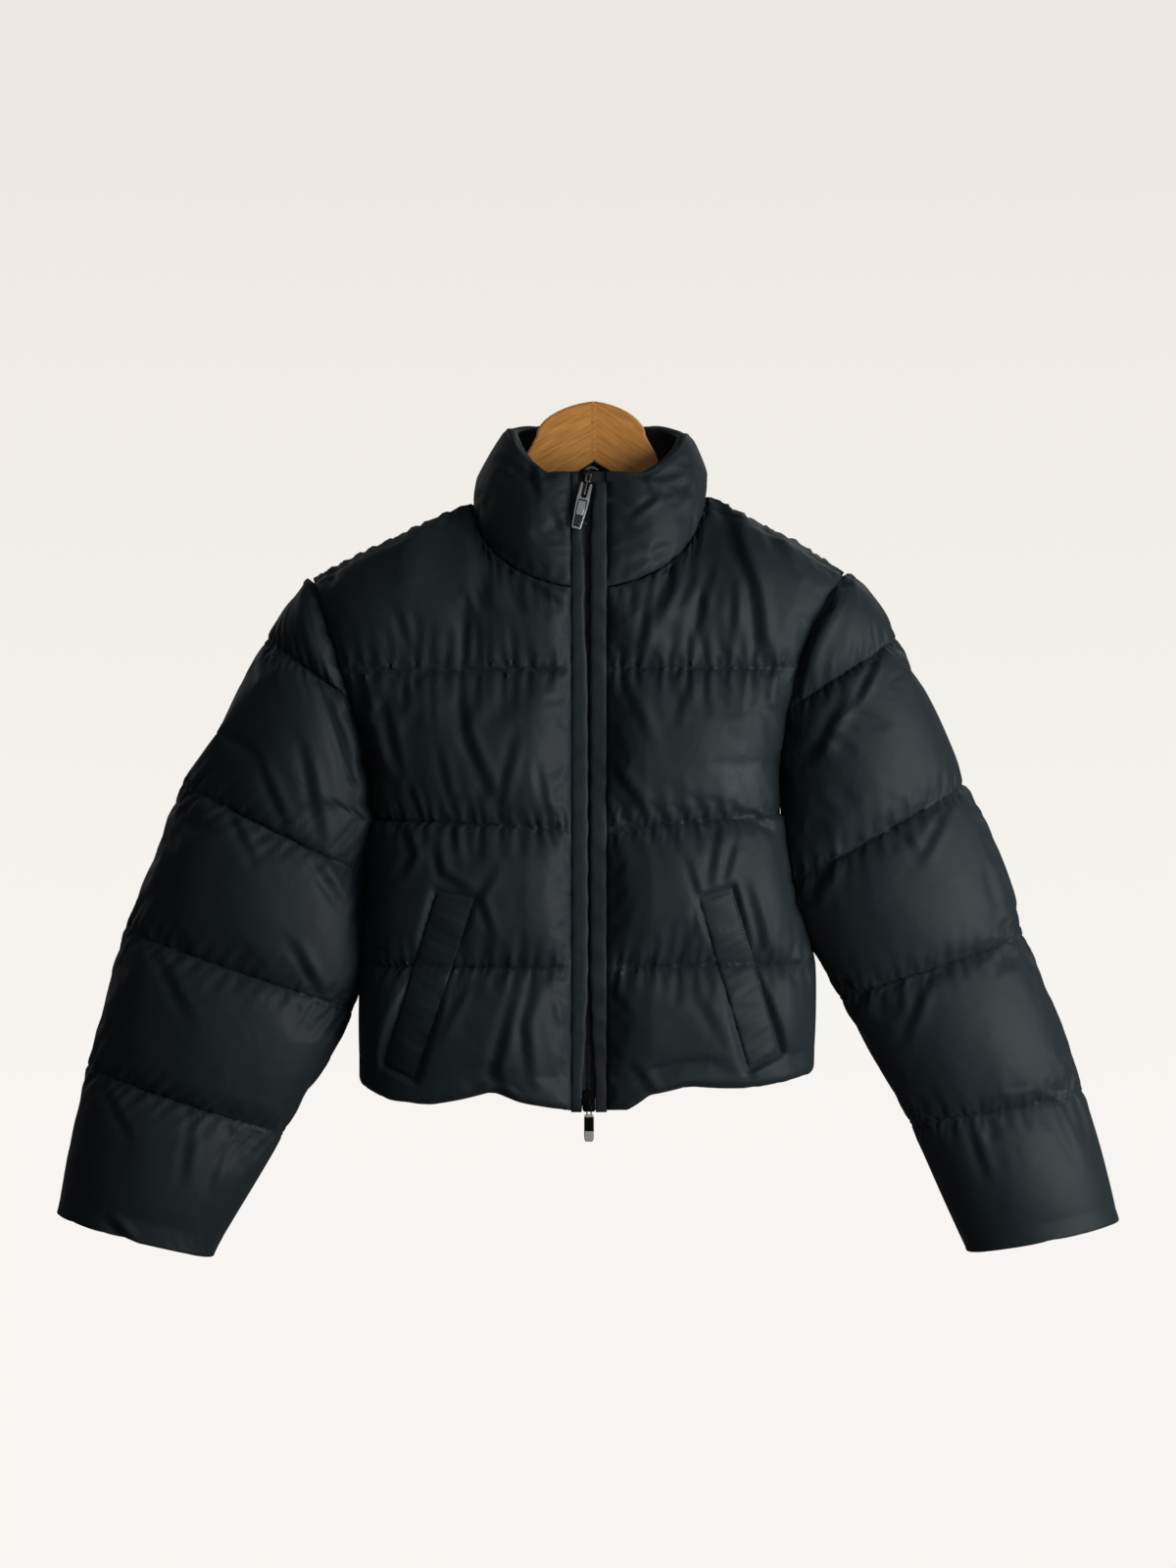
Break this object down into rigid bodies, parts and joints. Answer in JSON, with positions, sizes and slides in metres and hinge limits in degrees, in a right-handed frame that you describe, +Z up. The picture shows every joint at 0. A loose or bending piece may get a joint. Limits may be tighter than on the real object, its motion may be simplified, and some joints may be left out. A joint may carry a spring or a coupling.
{
  "type": "puffer jacket",
  "caption": "Black cropped puffer jacket with a stand-up collar, two-way front zip and slanted welt pockets, closed and hanging on a wooden hanger.",
  "frame": {"origin": "crown of the hanger's round head, in the middle of its thickness, where the hanging jacket is held", "axes": "+Z up, -Y towards the jacket's front, +X towards the wearer's left"},
  "size_m": [0.9192, 0.1492, 0.7432],
  "materials": {
    "shell": "satin woven polyester over padding",
    "tape": "matt woven tape",
    "teeth": "moulded",
    "nickel": "satin nickel plating",
    "black_metal": "gloss black",
    "beech": "clear satin varnish"
  },
  "bodies": {
    "jacket": {"front_right": "shell", "front_left": "shell", "back": "shell", "sleeve_right": "shell", "sleeve_left": "shell", "collar": "shell", "pocket_welt_right": "shell", "pocket_welt_left": "shell", "zip_guard_right": "shell", "zip_guard_left": "shell", "zip_tape_right": "tape", "zip_tape_left": "tape", "zip_chain": "teeth", "slider_top": "nickel", "slider_bottom": "black_metal", "hanger_right": "beech", "hanger_left": "beech"},
    "top_pull": {"pull_top": "nickel"},
    "bottom_pull": {"pull_bottom": "nickel"}
  },
  "joints": [
    {"name": "top_pull_swing", "type": "hinge", "parent": "jacket", "child": "top_pull", "pos_m": [0, -0.0518, -0.06715], "axis": [-0.9744, 0.0578, 0.2174], "range_deg": [0, 110]},
    {"name": "bottom_pull_swing", "type": "hinge", "parent": "jacket", "child": "bottom_pull", "pos_m": [0, -0.0578, -0.60618], "axis": [-1, 0, 0], "range_deg": [0, 120]}
  ]
}
